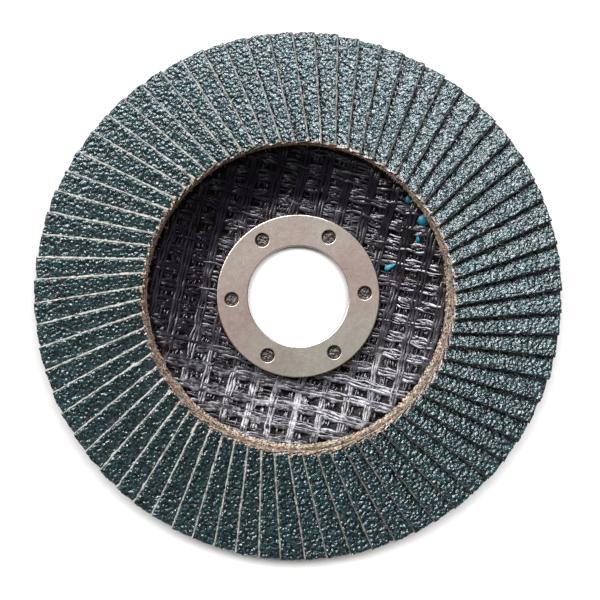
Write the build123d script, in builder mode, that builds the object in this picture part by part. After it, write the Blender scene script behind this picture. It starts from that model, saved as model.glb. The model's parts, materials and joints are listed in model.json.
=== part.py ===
from build123d import *
import math
import os

# Flap disc for an angle grinder, 115 mm across, for a 22.23 mm spindle flange.
# Frame: origin on the bore's axis at the hub's rear clamping face, +Z along the
# bore towards the abrasive side. Millimetres throughout.

# ---------------------------------------------------------------- dimensions
DISC_RADIUS = 57.5            # over the free corners of the flaps
BORE_RADIUS = 22.23 / 2       # standard spindle bore

# Backing plate: woven glass mesh in phenolic resin, moulded with a depressed centre
HUB_THICKNESS = 2.5
HUB_REAR_RADIUS = 21.2        # flat rear clamping face ends here
HUB_FRONT_RADIUS = 22.0       # flat front face of the hub ends here
CONE_REAR_RADIUS = 30.4
CONE_FRONT_RADIUS = 31.2
FLANGE_REAR_Z = 4.4
FLANGE_FRONT_Z = 6.8
PLATE_RADIUS = 54.0
PLATE_BEND = 2.0              # radius of the bends at both ends of the cone
PLATE_RIM_ROUND = 0.5

# Steel centre ring, stamped flat, keyed to the hub by resin in its holes
RING_RADIUS = 18.0
RING_THICKNESS = 1.0
RING_EDGE_ROUND = 0.25
RING_HOLES = 6
RING_HOLE_RADIUS = 1.5
RING_HOLE_ROUND = 0.2
RING_HOLE_CIRCLE = 14.7       # radius of the circle that the hole centres lie on
RING_HOLE_START = 2.7         # degrees from +X to the first hole
PIP_CLEARANCE = 0.02          # round each resin pip
PIP_HEIGHT = 0.65             # resin rises this far into the ring's holes

# Adhesive bed between the plate and the flaps, with a bead inside the flaps
BED_THICKNESS = 0.6
BED_OUTER_RADIUS = 53.4
BEAD_INNER_RADIUS = 32.1
BEAD_TOP_RADIUS = 32.75
BEAD_OUTER_RADIUS = 33.1
BEAD_HEIGHT = 1.7             # above the plate's front face

# Flaps: coated abrasive cloth, laid as shingles round the plate
FLAP_COUNT = 72
FLAPS_PER_NODE = 3
FLAP_START = 3.4              # degrees from +X to the middle of the first flap
FLAP_WIDTH = 14.0             # along the slope, free edge to buried edge
FLAP_THICKNESS = 1.1
FLAP_INNER = 33.2             # inner cut edge, square to the flap's own radius
FLAP_OVERHANG = 6.8           # the free edge lies this far past the flap's radius
FLAP_GAP = 0.035              # left between neighbouring flaps
FLAP_REST = 0.02              # left between a flap's lowest edge and the bed

# ---------------------------------------------------------------- derived sizes
pitch_angle = 360 / FLAP_COUNT
flap_outer = math.sqrt(DISC_RADIUS**2 - FLAP_OVERHANG**2)
bed_top = FLANGE_FRONT_Z + BED_THICKNESS
ring_top = HUB_THICKNESS + RING_THICKNESS


def flap_section(radius):
    """Corners of a flap cut square to its radius: (along the rim, height).

    Each flap lies on the one before, so its slope is the one at which a flap's
    thickness just fills the pitch at that radius: steep inside, flatter outside.
    """
    pitch = math.radians(pitch_angle) * radius
    slope = math.asin((FLAP_THICKNESS + FLAP_GAP) / pitch)
    run, rise = FLAP_WIDTH * math.cos(slope), FLAP_WIDTH * math.sin(slope)
    across, up = FLAP_THICKNESS * math.sin(slope), FLAP_THICKNESS * math.cos(slope)
    top = bed_top + FLAP_REST + rise + up
    return [
        (-FLAP_OVERHANG, top),
        (-FLAP_OVERHANG + run, top - rise),
        (-FLAP_OVERHANG + run - across, top - rise - up),
        (-FLAP_OVERHANG - across, top - up),
    ]


def square_to_radius(radius):
    """Plane across the X axis, its own x along +Y and its own y up."""
    return Plane(origin=(radius, 0, 0), x_dir=(0, 1, 0), z_dir=(1, 0, 0))


os.makedirs("parts", exist_ok=True)

# ---------------------------------------------------------------- backing plate
with BuildPart() as backing_plate:
    with BuildSketch(Plane.XZ) as plate_section:
        with BuildLine():
            Polyline(
                (BORE_RADIUS, 0),
                (HUB_REAR_RADIUS, 0),
                (CONE_REAR_RADIUS, FLANGE_REAR_Z),
                (PLATE_RADIUS, FLANGE_REAR_Z),
                (PLATE_RADIUS, FLANGE_FRONT_Z),
                (CONE_FRONT_RADIUS, FLANGE_FRONT_Z),
                (HUB_FRONT_RADIUS, HUB_THICKNESS),
                (BORE_RADIUS, HUB_THICKNESS),
                close=True,
            )
        make_face()
        # the bends at the foot and the head of the cone, on both faces
        bends = [
            v
            for v in plate_section.vertices()
            if HUB_REAR_RADIUS - 0.1 < v.X < CONE_FRONT_RADIUS + 0.1
        ]
        fillet(bends, radius=PLATE_BEND)
    revolve(axis=Axis.Z)
    rim = backing_plate.edges().filter_by(GeomType.CIRCLE).group_by(SortBy.RADIUS)[-1]
    fillet(rim, radius=PLATE_RIM_ROUND)
    # resin pips that key the steel ring, moulded with the hub
    with BuildSketch(Plane.XY.offset(HUB_THICKNESS)):
        with PolarLocations(RING_HOLE_CIRCLE, RING_HOLES, start_angle=RING_HOLE_START):
            Circle(RING_HOLE_RADIUS - PIP_CLEARANCE)
    extrude(amount=PIP_HEIGHT)
backing_plate.part.label = "backing_plate"
export_step(backing_plate.part, "parts/backing_plate.step")

# ---------------------------------------------------------------- centre ring
with BuildPart() as centre_ring:
    with BuildSketch(Plane.XY.offset(HUB_THICKNESS)):
        Circle(RING_RADIUS)
        Circle(BORE_RADIUS, mode=Mode.SUBTRACT)
        with PolarLocations(RING_HOLE_CIRCLE, RING_HOLES, start_angle=RING_HOLE_START):
            Circle(RING_HOLE_RADIUS, mode=Mode.SUBTRACT)
    extrude(amount=RING_THICKNESS)
    front_edges = centre_ring.edges().filter_by_position(
        Axis.Z, ring_top - 0.01, ring_top + 0.01
    )
    by_size = front_edges.filter_by(GeomType.CIRCLE).group_by(SortBy.RADIUS)
    fillet(by_size[0], radius=RING_HOLE_ROUND)      # the six small holes
    front_edges = centre_ring.edges().filter_by_position(
        Axis.Z, ring_top - 0.01, ring_top + 0.01
    )
    by_size = front_edges.filter_by(GeomType.CIRCLE).group_by(SortBy.RADIUS)
    fillet(by_size[-1] + by_size[-2], radius=RING_EDGE_ROUND)  # rim and bore
centre_ring.part.label = "centre_ring"
export_step(centre_ring.part, "parts/centre_ring.step")

# ---------------------------------------------------------------- adhesive bed
with BuildPart() as adhesive_bed:
    with BuildSketch(Plane.XZ):
        with BuildLine():
            Polyline(
                (BEAD_INNER_RADIUS, FLANGE_FRONT_Z),
                (BED_OUTER_RADIUS, FLANGE_FRONT_Z),
                (BED_OUTER_RADIUS, bed_top),
                (BEAD_OUTER_RADIUS, bed_top),
                (BEAD_OUTER_RADIUS, FLANGE_FRONT_Z + BEAD_HEIGHT),
                (BEAD_TOP_RADIUS, FLANGE_FRONT_Z + 0.8 * BEAD_HEIGHT),
                close=True,
            )
        make_face()
    revolve(axis=Axis.Z)
adhesive_bed.part.label = "adhesive_bed"
export_step(adhesive_bed.part, "parts/adhesive_bed.step")

# ---------------------------------------------------------------- flaps
# One flap along +X: its free edge lies towards -Y and is raised, and it slopes
# down under its neighbours to its buried edge on the adhesive.
with BuildPart() as flap:
    for radius in (FLAP_INNER, flap_outer):
        with BuildSketch(square_to_radius(radius)):
            with BuildLine():
                Polyline(*flap_section(radius), close=True)
            make_face()
    loft(ruled=True)

# Whole flaps, three to a sector, each a solid of its own
for first in range(0, FLAP_COUNT, FLAPS_PER_NODE):
    with BuildPart() as flap_sector:
        with PolarLocations(
            0,
            FLAPS_PER_NODE,
            start_angle=FLAP_START + first * pitch_angle,
            angular_range=(FLAPS_PER_NODE - 1) * pitch_angle,
            endpoint=True,
        ):
            add(flap.part)
    name = f"flaps_{first + 1:02d}_to_{first + FLAPS_PER_NODE:02d}"
    flap_sector.part.label = name
    export_step(flap_sector.part, f"parts/{name}.step")

print("flap outer edge at", round(flap_outer, 3))
print("flap section inside", [(round(a, 3), round(b, 3)) for a, b in flap_section(FLAP_INNER)])
print("flap section outside", [(round(a, 3), round(b, 3)) for a, b in flap_section(flap_outer)])
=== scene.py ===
import json
import math

import bpy
import numpy as np
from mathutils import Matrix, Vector

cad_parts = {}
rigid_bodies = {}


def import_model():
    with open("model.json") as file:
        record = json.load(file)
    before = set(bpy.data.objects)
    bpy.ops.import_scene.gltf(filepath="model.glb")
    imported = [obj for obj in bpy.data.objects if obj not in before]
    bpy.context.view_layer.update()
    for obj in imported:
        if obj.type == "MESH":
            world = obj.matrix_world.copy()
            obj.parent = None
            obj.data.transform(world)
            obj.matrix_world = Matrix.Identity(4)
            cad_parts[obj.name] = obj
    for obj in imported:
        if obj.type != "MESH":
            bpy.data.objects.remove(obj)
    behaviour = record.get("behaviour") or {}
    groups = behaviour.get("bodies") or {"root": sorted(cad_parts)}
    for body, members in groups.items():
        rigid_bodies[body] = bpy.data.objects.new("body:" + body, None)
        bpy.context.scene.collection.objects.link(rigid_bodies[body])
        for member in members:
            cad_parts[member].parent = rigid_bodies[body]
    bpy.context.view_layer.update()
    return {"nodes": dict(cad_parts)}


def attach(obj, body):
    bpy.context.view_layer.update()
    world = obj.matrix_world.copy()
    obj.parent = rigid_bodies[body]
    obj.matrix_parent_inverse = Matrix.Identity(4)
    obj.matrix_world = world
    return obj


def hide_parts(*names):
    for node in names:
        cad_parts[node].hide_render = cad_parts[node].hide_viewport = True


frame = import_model()

MM = 0.001

# ---------------------------------------------------------------- the disc's sizes, mm
BORE_R = 11.115
FLAPS, START, PITCH = 72, 3.4, 5.0
WIDTH, THICK, R_IN, OVERHANG, GAP = 14.0, 1.1, 33.2, 6.8, 0.035
R_OUT = math.sqrt(57.5**2 - OVERHANG**2)
BED_TOP = 7.42
RING_TOP = 3.5
HOLE_R, HOLE_PCR, HOLE_START = 1.5, 14.7, 2.7

FRONT_R = [11.0, 21.55, 22.0, 22.45, 30.75, 31.2, 31.65, 54.0]
FRONT_Z = [2.5, 2.5, 2.54, 2.69, 6.61, 6.76, 6.8, 6.8]
REAR_R = [11.0, 20.75, 21.2, 21.65, 29.95, 30.4, 30.85, 54.0]
REAR_Z = [0.0, 0.0, 0.04, 0.2, 4.2, 4.36, 4.4, 4.4]


def front_z(r):
    return np.interp(r, FRONT_R, FRONT_Z)


def rear_z(r):
    return np.interp(r, REAR_R, REAR_Z)


# ---------------------------------------------------------------- repeatable noise
def hashed(i, j, seed):
    """A number in 0..1 for each pair of whole numbers."""
    i = np.asarray(i).astype(np.int64)
    j = np.asarray(j).astype(np.int64)
    h = (i * 374761393 + j * 668265263 + int(seed) * 2147483647 + 1442695041) & 0xFFFFFFFF
    h = ((h ^ (h >> 13)) * 1274126177) & 0xFFFFFFFF
    h = ((h ^ (h >> 16)) * 2246822519) & 0xFFFFFFFF
    h = h ^ (h >> 15)
    return (h & 0xFFFFFF) / float(0xFFFFFF)


def noise2(x, y, seed):
    """Smooth value noise, -1..1, with a cell of 1."""
    x, y = np.broadcast_arrays(np.asarray(x, float), np.asarray(y, float))
    i, j = np.floor(x), np.floor(y)
    fx, fy = x - i, y - j
    fx, fy = fx * fx * (3 - 2 * fx), fy * fy * (3 - 2 * fy)
    a, b = hashed(i, j, seed), hashed(i + 1, j, seed)
    c, d = hashed(i, j + 1, seed), hashed(i + 1, j + 1, seed)
    return 2 * ((a * (1 - fx) + b * fx) * (1 - fy) + (c * (1 - fx) + d * fx) * fy) - 1


def grains(x, y, seed, cell=0.7):
    """Height of a packed layer of crushed crystals, 0..1: each grain is a small cut pyramid with flat facets."""
    gx, gy = x / cell, y / cell
    i0, j0 = np.floor(gx), np.floor(gy)
    best = np.full(np.shape(gx), -9.0)
    for di in (-1, 0, 1):
        for dj in (-1, 0, 1):
            i, j = i0 + di, j0 + dj
            h = [hashed(i, j, seed + k) for k in range(9)]
            size = 0.7 + 0.55 * h[2]
            dx = (gx - (i + 0.5 + 0.8 * (h[0] - 0.5))) / size
            dy = (gy - (j + 0.5 + 0.8 * (h[1] - 0.5))) / size
            d = 1.5 * ((h[4] - 0.5) * dx + (h[5] - 0.5) * dy)
            for k in range(5):
                az = 2 * math.pi * (h[3] + k / 5 + 0.09 * math.sin(7 * k)) + 0.5 * h[6]
                steep = 1.1 + 1.1 * ((h[7] * 7 + k * 0.37) % 1)
                d = np.maximum(d, steep * (np.cos(az) * dx + np.sin(az) * dy - 0.16 - 0.14 * ((h[8] * 5 + k * 0.61) % 1)))
            best = np.maximum(best, 0.62 + 0.38 * h[6] - d)
    return np.clip(best, 0, 1)


# ---------------------------------------------------------------- mesh and material helpers
def make_mesh(name, verts, quads=None, tris=None, mats=(), mat_index=None, smooth=None,
              floats=None, uv=None):
    """A mesh object from arrays: verts in mm, faces as vertex numbers, one material number a face."""
    verts = np.asarray(verts, np.float32) * MM
    quads = np.zeros((0, 4), np.int32) if quads is None else np.asarray(quads, np.int32).reshape(-1, 4)
    tris = np.zeros((0, 3), np.int32) if tris is None else np.asarray(tris, np.int32).reshape(-1, 3)
    me = bpy.data.meshes.new(name)
    me.vertices.add(len(verts))
    me.vertices.foreach_set("co", verts.ravel())
    loops = np.concatenate([quads.ravel(), tris.ravel()])
    me.loops.add(len(loops))
    me.loops.foreach_set("vertex_index", loops)
    me.polygons.add(len(quads) + len(tris))
    starts = np.concatenate([np.arange(len(quads)) * 4, len(quads) * 4 + np.arange(len(tris)) * 3])
    me.polygons.foreach_set("loop_start", starts.astype(np.int32))
    for m in mats:
        me.materials.append(m)
    if mat_index is not None:
        me.polygons.foreach_set("material_index", np.asarray(mat_index, np.int32))
    n = len(me.polygons)
    flags = np.ones(n, bool) if smooth is None else np.broadcast_to(np.asarray(smooth, bool), (n,))
    me.polygons.foreach_set("use_smooth", flags.copy())
    for key, values in (floats or {}).items():
        at = me.attributes.new(key, "FLOAT", "POINT")
        at.data.foreach_set("value", np.asarray(values, np.float32))
    if uv is not None:
        layer = me.uv_layers.new(name="along")
        layer.data.foreach_set("uv", np.asarray(uv, np.float32)[loops].ravel())
    me.update()
    me.validate(clean_customdata=False)
    ob = bpy.data.objects.new(name, me)
    bpy.context.scene.collection.objects.link(ob)
    return ob


def grid_faces(nu, nv, first=0):
    """Quads of a grid of (nu+1) x (nv+1) points stored row by row."""
    i, j = np.meshgrid(np.arange(nu), np.arange(nv), indexing="ij")
    a = first + i * (nv + 1) + j
    return np.stack([a, a + 1, a + nv + 2, a + nv + 1], axis=-1).reshape(-1, 4)


class Mat:
    """A node material, built with short calls."""

    def __init__(self, name, **sockets):
        self.m = bpy.data.materials.new(name)
        self.m.use_nodes = True
        self.t = self.m.node_tree
        self.out = self.t.nodes["Material Output"]
        self.p = self.t.nodes["Principled BSDF"]
        for k, v in sockets.items():
            self.p.inputs[k.replace("_", " ")].default_value = v

    def node(self, kind, inputs=None, **props):
        n = self.t.nodes.new(kind)
        for k, v in props.items():
            setattr(n, k, v)
        for k, v in (inputs or {}).items():
            self.put(n, k, v)
        return n

    def put(self, n, key, value):
        socket = n.inputs[key]
        if isinstance(value, bpy.types.NodeSocket):
            self.t.links.new(value, socket)
        else:
            socket.default_value = value

    def coords(self, kind="Object", scale=(1, 1, 1), rotation=(0, 0, 0)):
        c = self.node("ShaderNodeTexCoord")
        m = self.node("ShaderNodeMapping", {"Vector": c.outputs[kind], "Scale": scale, "Rotation": rotation})
        return m.outputs[0]

    def attribute(self, name):
        return self.node("ShaderNodeAttribute", attribute_name=name).outputs["Fac"]

    def noise(self, vector, scale, detail=3.0, rough=0.55, distortion=0.0):
        return self.node("ShaderNodeTexNoise", {"Vector": vector, "Scale": scale, "Detail": detail,
                                                "Roughness": rough, "Distortion": distortion}).outputs["Fac"]

    def voronoi(self, vector, scale, feature="F1", out="Distance", **props):
        return self.node("ShaderNodeTexVoronoi", {"Vector": vector, "Scale": scale}, feature=feature,
                         **props).outputs[out]

    def ramp(self, fac, stops, mode="LINEAR"):
        r = self.node("ShaderNodeValToRGB", {"Fac": fac})
        r.color_ramp.interpolation = mode
        e = r.color_ramp.elements
        while len(e) < len(stops):
            e.new(0.5)
        for el, (at, colour) in zip(e, stops):
            el.position = at
            el.color = (*colour, 1) if len(colour) == 3 else colour
        return r.outputs["Color"]

    def remap(self, value, a, b, c, d):
        return self.node("ShaderNodeMapRange", {"Value": value, "From Min": a, "From Max": b,
                                                "To Min": c, "To Max": d}).outputs[0]

    def mix(self, fac, a, b, blend="MIX"):
        n = self.t.nodes.new("ShaderNodeMix")
        n.data_type, n.blend_type = "RGBA", blend
        self.put(n, 0, fac)
        self.put(n, 6, a if isinstance(a, bpy.types.NodeSocket) else (*a, 1))
        self.put(n, 7, b if isinstance(b, bpy.types.NodeSocket) else (*b, 1))
        return n.outputs[2]

    def math(self, op, a, b=0.0, clamp=False):
        n = self.node("ShaderNodeMath", operation=op, use_clamp=clamp)
        self.put(n, 0, a)
        self.put(n, 1, b)
        return n.outputs[0]

    def bump(self, height, distance, strength=1.0, normal=None):
        n = self.node("ShaderNodeBump", {"Height": height, "Distance": distance, "Strength": strength})
        if normal is not None:
            self.put(n, "Normal", normal)
        return n.outputs[0]

    def set(self, **sockets):
        for k, v in sockets.items():
            self.put(self.p, k.replace("_", " "), v)
        return self.m


# ---------------------------------------------------------------- materials
def grit_material():
    m = Mat("abrasive_grain", IOR=1.6, Specular_Tint=(0.88, 0.955, 1.0, 1.0))
    obj = m.coords()
    grain = m.attribute("grain")
    fray = m.attribute("fray")
    cell = m.voronoi(obj, 1700.0, out="Color")
    fine = m.noise(obj, 4200.0, 3.0, 0.6)
    broad = m.noise(obj, 90.0, 2.0)
    tone = m.math("ADD", m.math("MULTIPLY", grain, 0.6), m.math("MULTIPLY", fine, 0.35))
    tone = m.math("ADD", tone, m.remap(m.node("ShaderNodeSeparateColor", {"Color": cell}).outputs[0], 0, 1, -0.2, 0.2))
    tone = m.math("ADD", tone, m.remap(broad, 0.3, 0.7, -0.04, 0.04))
    colour = m.ramp(tone, [(0.28, (0.001, 0.005, 0.0058)), (0.46, (0.003, 0.0175, 0.0195)),
                           (0.7, (0.008, 0.041, 0.045)), (0.95, (0.035, 0.085, 0.09))])
    # worn cloth and glue that show through along the inner edge
    frayed = m.math("GREATER_THAN", m.math("ADD", fray, m.remap(m.noise(obj, 1400.0, 4.0, 0.7), 0, 1, -0.55, 0.55)), 0.5)
    worn = m.noise(obj, 2600.0, 3.0)
    tan = m.mix(m.remap(fray, 0.4, 0.7, 0.0, 1.0),
                m.ramp(worn, [(0.3, (0.04, 0.032, 0.03)), (0.5, (0.23, 0.22, 0.205)), (0.75, (0.40, 0.39, 0.37))]),
                m.ramp(worn, [(0.3, (0.10, 0.04, 0.032)), (0.44, (0.34, 0.20, 0.16)), (0.54, (0.48, 0.38, 0.31)), (0.75, (0.58, 0.51, 0.43))]))
    colour = m.mix(frayed, colour, tan)
    # painted shadow: a dark, less glossy band on the grit beside the neighbour's raised free edge, on flaps whose edges
    # face away from the light
    foot = m.math("ADD", m.attribute("foot"), m.remap(m.noise(obj, 1600.0, 3.0, 0.6), 0, 1, -0.45, 0.45))
    painted_shadow = m.remap(foot, 0.42, 0.6, 0.0, 0.9)
    colour = m.mix(painted_shadow, colour, (0.006, 0.003, 0.0055))
    gloss = m.math("SUBTRACT", 0.95, m.math("MULTIPLY", painted_shadow, 0.6))
    rough = m.remap(m.noise(obj, 1500.0, 2.0), 0.3, 0.7, 0.18, 0.32)
    bent = m.node("ShaderNodeVectorMath", {0: obj, 1: m.node("ShaderNodeVectorMath", {
        0: m.node("ShaderNodeTexNoise", {"Vector": obj, "Scale": 2200.0, "Detail": 1.0}).outputs["Color"],
        "Scale": 0.0004}, operation="SCALE").outputs[0]}, operation="ADD").outputs[0]
    crystal = m.math("SUBTRACT", 1.0, m.voronoi(bent, 1350.0))
    height = m.math("ADD", crystal, m.math("MULTIPLY", m.noise(obj, 2400.0, 1.0, 0.5), 0.35))
    return m.set(Base_Color=colour, Roughness=rough, Specular_IOR_Level=gloss, Normal=m.bump(height, 0.0003, 1.0))


def cloth_edge_material():
    m = Mat("cloth_cut_edge", Roughness=0.85)
    obj = m.coords()
    depth = m.attribute("depth")
    gold = m.attribute("gold")
    streak = m.noise(obj, 1100.0, 4.0, 0.7)
    fibre = m.noise(obj, 6500.0, 2.0, 0.6)
    cream = m.ramp(m.math("ADD", m.math("MULTIPLY", streak, 0.65), m.math("MULTIPLY", fibre, 0.35)),
                   [(0.34, (0.03, 0.017, 0.017)), (0.43, (0.13, 0.10, 0.095)), (0.5, (0.33, 0.325, 0.305)), (0.7, (0.54, 0.535, 0.51))])
    pink = m.remap(m.noise(obj, 170.0, 3.0, 0.6), 0.6, 0.68, 0.0, 0.75)
    speck = m.math("ADD", m.math("MULTIPLY", streak, 0.5), m.math("MULTIPLY", m.noise(obj, 1900.0, 2.0, 0.7), 0.5))
    amber = m.ramp(speck, [(0.39, (0.05, 0.024, 0.02)), (0.46, (0.31, 0.18, 0.135)), (0.52, (0.52, 0.40, 0.31)), (0.61, (0.71, 0.625, 0.525))])
    cloth = m.mix(m.math("MAXIMUM", m.math("MULTIPLY", gold, 0.8), pink), cream, amber)
    # grain and size coat above, cloth below, with a ragged line between them
    line = m.math("ADD", depth, m.remap(m.noise(obj, 1300.0, 3.0, 0.65), 0, 1, -0.16, 0.16))
    is_cloth = m.remap(line, 0.2, 0.27, 0.0, 1.0)
    grain = m.ramp(fibre, [(0.35, (0.012, 0.028, 0.03)), (0.7, (0.07, 0.12, 0.12))])
    colour = m.mix(is_cloth, grain, cloth)
    # painted shade: the cut edges of flaps that face away from the light are darkened towards near black, unevenly
    painted_edge_shade = m.math("MULTIPLY", m.attribute("foot"), m.remap(m.noise(obj, 700.0, 3.0, 0.7), 0.42, 0.6, 1.0, 0.72))
    colour = m.mix(painted_edge_shade, colour, (0.012, 0.006, 0.008))
    height = m.math("ADD", m.math("MULTIPLY", fibre, 0.7), m.math("MULTIPLY", streak, 0.6))
    return m.set(Base_Color=colour, Normal=m.bump(height, 0.00012, 0.8))


def cloth_back_material():
    m = Mat("cloth_back", Roughness=0.8)
    obj = m.coords()
    weave = m.node("ShaderNodeTexWave", {"Vector": obj, "Scale": 500.0, "Distortion": 1.2, "Detail": 2.0}, wave_type="BANDS", bands_direction="DIAGONAL").outputs["Fac"]
    n = m.noise(obj, 900.0, 4.0, 0.6)
    colour = m.ramp(m.math("ADD", m.math("MULTIPLY", weave, 0.3), m.math("MULTIPLY", n, 0.7)),
                    [(0.2, (0.16, 0.10, 0.06)), (0.5, (0.42, 0.32, 0.22)), (0.85, (0.58, 0.49, 0.38))])
    return m.set(Base_Color=colour, Normal=m.bump(weave, 0.00008, 0.7))


def strand_material(name, stretch, low, high, level):
    """Glass rovings soaked in black resin: glossy ridges along each strand."""
    m = Mat(name, IOR=1.6, Specular_Tint=(0.95, 0.93, 1.0, 1.0))
    uv = m.coords("UV", scale=(stretch, 1, 1))
    obj = m.coords()
    fil = m.noise(uv, 5.0, 2.0, 0.5, 0.3)
    blotch = m.noise(obj, 420.0, 3.0, 0.6)
    pale_sheen, shade_dull = m.attribute("pale_sheen"), m.attribute("shade_dull")
    streaks = m.math("ADD", m.math("MULTIPLY", fil, 0.4), m.math("MULTIPLY", blotch, 0.6))
    colour = m.ramp(streaks, [(0.35, (0.0016, 0.0011, 0.0028)), (0.55, (0.0065, 0.0052, 0.0098)), (0.72, (0.026, 0.0235, 0.032))])
    patchy = m.math("ADD", m.math("MULTIPLY", streaks, 0.55), m.math("MULTIPLY", m.noise(obj, 1050.0, 2.0, 0.6), 0.45))
    # painted sheen: a pale, rougher coat on the strands on the side of the recess that faces the light
    colour = m.mix(pale_sheen, colour, m.ramp(patchy, [(0.43, (0.004, 0.0033, 0.0055)), (0.49, (0.05, 0.048, 0.055)), (0.56, (0.38, 0.375, 0.395))]))
    # painted shade: dark purple, less glossy strands on the side of the recess that the flap wall shades
    colour = m.mix(shade_dull, colour, (0.013, 0.010, 0.0205))
    rough = m.remap(m.noise(obj, 650.0, 3.0, 0.6), 0.32, 0.68, low, high)
    rough = m.math("ADD", rough, m.math("MULTIPLY", pale_sheen, 0.12))
    gloss = m.math("MULTIPLY", level, m.math("SUBTRACT", 1.0, m.math("MULTIPLY", shade_dull, 0.72)))
    height = m.math("ADD", m.math("MULTIPLY", fil, 0.6), m.math("MULTIPLY", m.noise(obj, 900.0, 2.0, 0.5), 0.7))
    return m.set(Base_Color=colour, Roughness=rough, Specular_IOR_Level=gloss, Normal=m.bump(height, 0.00009, 0.7))


def resin_material():
    """The plate's own resin, seen in the windows of the net and at the rim."""
    m = Mat("black_resin", IOR=1.5, Specular_IOR_Level=0.14)
    obj = m.coords()
    patch = m.noise(obj, 260.0, 3.0, 0.6)
    fine = m.noise(obj, 1500.0, 3.0, 0.6)
    colour = m.ramp(patch, [(0.36, (0.001, 0.0008, 0.0016)), (0.5, (0.003, 0.0013, 0.0021)), (0.6, (0.013, 0.0042, 0.0045)), (0.72, (0.003, 0.0016, 0.003))])
    rough = m.remap(fine, 0.3, 0.7, 0.2, 0.5)
    height = m.math("ADD", m.math("MULTIPLY", fine, 0.5), m.math("MULTIPLY", m.noise(obj, 700.0, 2.0), 0.9))
    return m.set(Base_Color=colour, Roughness=rough, Normal=m.bump(height, 0.0005, 0.9))


def steel_material():
    m = Mat("plated_steel", Metallic=1.0)
    obj = m.coords()
    cloud = m.noise(obj, 70.0, 3.0, 0.55)
    grain = m.noise(obj, 2600.0, 3.0, 0.65)
    roll = m.noise(m.coords(scale=(1, 9, 1)), 420.0, 3.0, 0.6)
    spots = m.noise(obj, 950.0, 4.0, 0.7)
    mixed = m.math("ADD", m.math("ADD", m.math("MULTIPLY", cloud, 0.25), m.math("MULTIPLY", spots, 0.35)),
                   m.math("ADD", m.math("MULTIPLY", grain, 0.3), m.math("MULTIPLY", roll, 0.1)))
    colour = m.ramp(mixed, [(0.38, (0.30, 0.25, 0.23)), (0.46, (0.48, 0.41, 0.375)), (0.54, (0.60, 0.52, 0.475)), (0.64, (0.78, 0.70, 0.65))])
    # faint warm and cool stains in the plating
    stain = m.noise(obj, 38.0, 2.0, 0.5)
    colour = m.mix(m.remap(stain, 0.4, 0.62, 0, 1), m.mix(0.5, colour, (0.58, 0.41, 0.385)), m.mix(0.5, colour, (0.47, 0.48, 0.40)))
    rough = m.remap(m.math("ADD", m.math("MULTIPLY", cloud, 0.5), m.math("MULTIPLY", grain, 0.5)), 0.3, 0.7, 0.3, 0.42)
    return m.set(Base_Color=colour, Roughness=rough, Normal=m.bump(m.math("ADD", grain, m.math("MULTIPLY", roll, 0.5)), 0.00001, 0.5))


def glue_material():
    m = Mat("cured_glue", IOR=1.5, Roughness=0.5, Specular_IOR_Level=0.3)
    obj = m.coords()
    n = m.math("ADD", m.math("MULTIPLY", m.noise(obj, 3400.0, 2.0, 0.7), 0.35), m.math("MULTIPLY", m.noise(obj, 1700.0, 2.0), 0.65))
    cream = m.ramp(n, [(0.4, (0.025, 0.013, 0.011)), (0.46, (0.17, 0.11, 0.085)), (0.51, (0.42, 0.33, 0.255)), (0.58, (0.72, 0.635, 0.53))])
    rust = m.ramp(n, [(0.4, (0.022, 0.009, 0.008)), (0.46, (0.20, 0.085, 0.062)), (0.51, (0.46, 0.26, 0.195)), (0.58, (0.68, 0.48, 0.39))])
    olive = m.ramp(n, [(0.4, (0.012, 0.012, 0.008)), (0.46, (0.09, 0.08, 0.05)), (0.51, (0.26, 0.235, 0.155)), (0.58, (0.50, 0.47, 0.345))])
    colour = m.mix(m.remap(m.noise(obj, 520.0, 3.0, 0.6), 0.5, 0.62, 0.0, 1.0), cream, rust)
    colour = m.mix(m.remap(m.noise(m.coords(rotation=(0, 0, 0.7)), 380.0, 3.0, 0.6), 0.5, 0.6, 0.0, 0.9), colour, olive)
    return m.set(Base_Color=colour, Normal=m.bump(m.noise(obj, 2800.0, 3.0, 0.6), 0.0005, 1.0))


def fibre_material():
    m = Mat("loose_fibres", Roughness=0.75)
    obj = m.coords()
    n = m.noise(obj, 1100.0, 2.0, 0.6)
    colour = m.ramp(n, [(0.36, (0.06, 0.028, 0.024)), (0.45, (0.27, 0.155, 0.12)), (0.53, (0.50, 0.385, 0.30)), (0.64, (0.70, 0.615, 0.51))])
    return m.set(Base_Color=colour)


def speck_material():
    m = Mat("teal_speck", Roughness=0.45)
    obj = m.coords()
    colour = m.ramp(m.noise(obj, 1200.0, 3.0), [(0.3, (0.003, 0.08, 0.13)), (0.55, (0.008, 0.2, 0.3)), (0.8, (0.1, 0.42, 0.52))])
    return m.set(Base_Color=colour, Normal=m.bump(m.noise(obj, 2500.0, 3.0), 0.0001, 0.6))


def pip_material():
    """The resin that has risen into the ring's holes, with ends of glass in it."""
    m = Mat("resin_in_holes", IOR=1.55)
    obj = m.coords()
    bits = m.noise(m.coords(scale=(1, 2.6, 1), rotation=(0, 0, 0.5)), 1700.0, 3.0, 0.6)
    colour = m.ramp(bits, [(0.45, (0.003, 0.002, 0.0025)), (0.54, (0.022, 0.014, 0.012)), (0.61, (0.12, 0.095, 0.085)), (0.7, (0.42, 0.39, 0.36))])
    rough = m.remap(m.noise(obj, 1200.0, 2.0), 0.3, 0.7, 0.2, 0.42)
    return m.set(Base_Color=colour, Roughness=rough, Normal=m.bump(bits, 0.0002, 0.8))


GRIT, EDGE, BACK = grit_material(), cloth_edge_material(), cloth_back_material()
STRAND = strand_material("glass_weft", 0.06, 0.2, 0.36, 1.0)
WARP = strand_material("glass_warp", 0.06, 0.19, 0.36, 0.75)
RESIN, STEEL, GLUE, FIBRE, SPECK, PIP = resin_material(), steel_material(), glue_material(), fibre_material(), speck_material(), pip_material()


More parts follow.
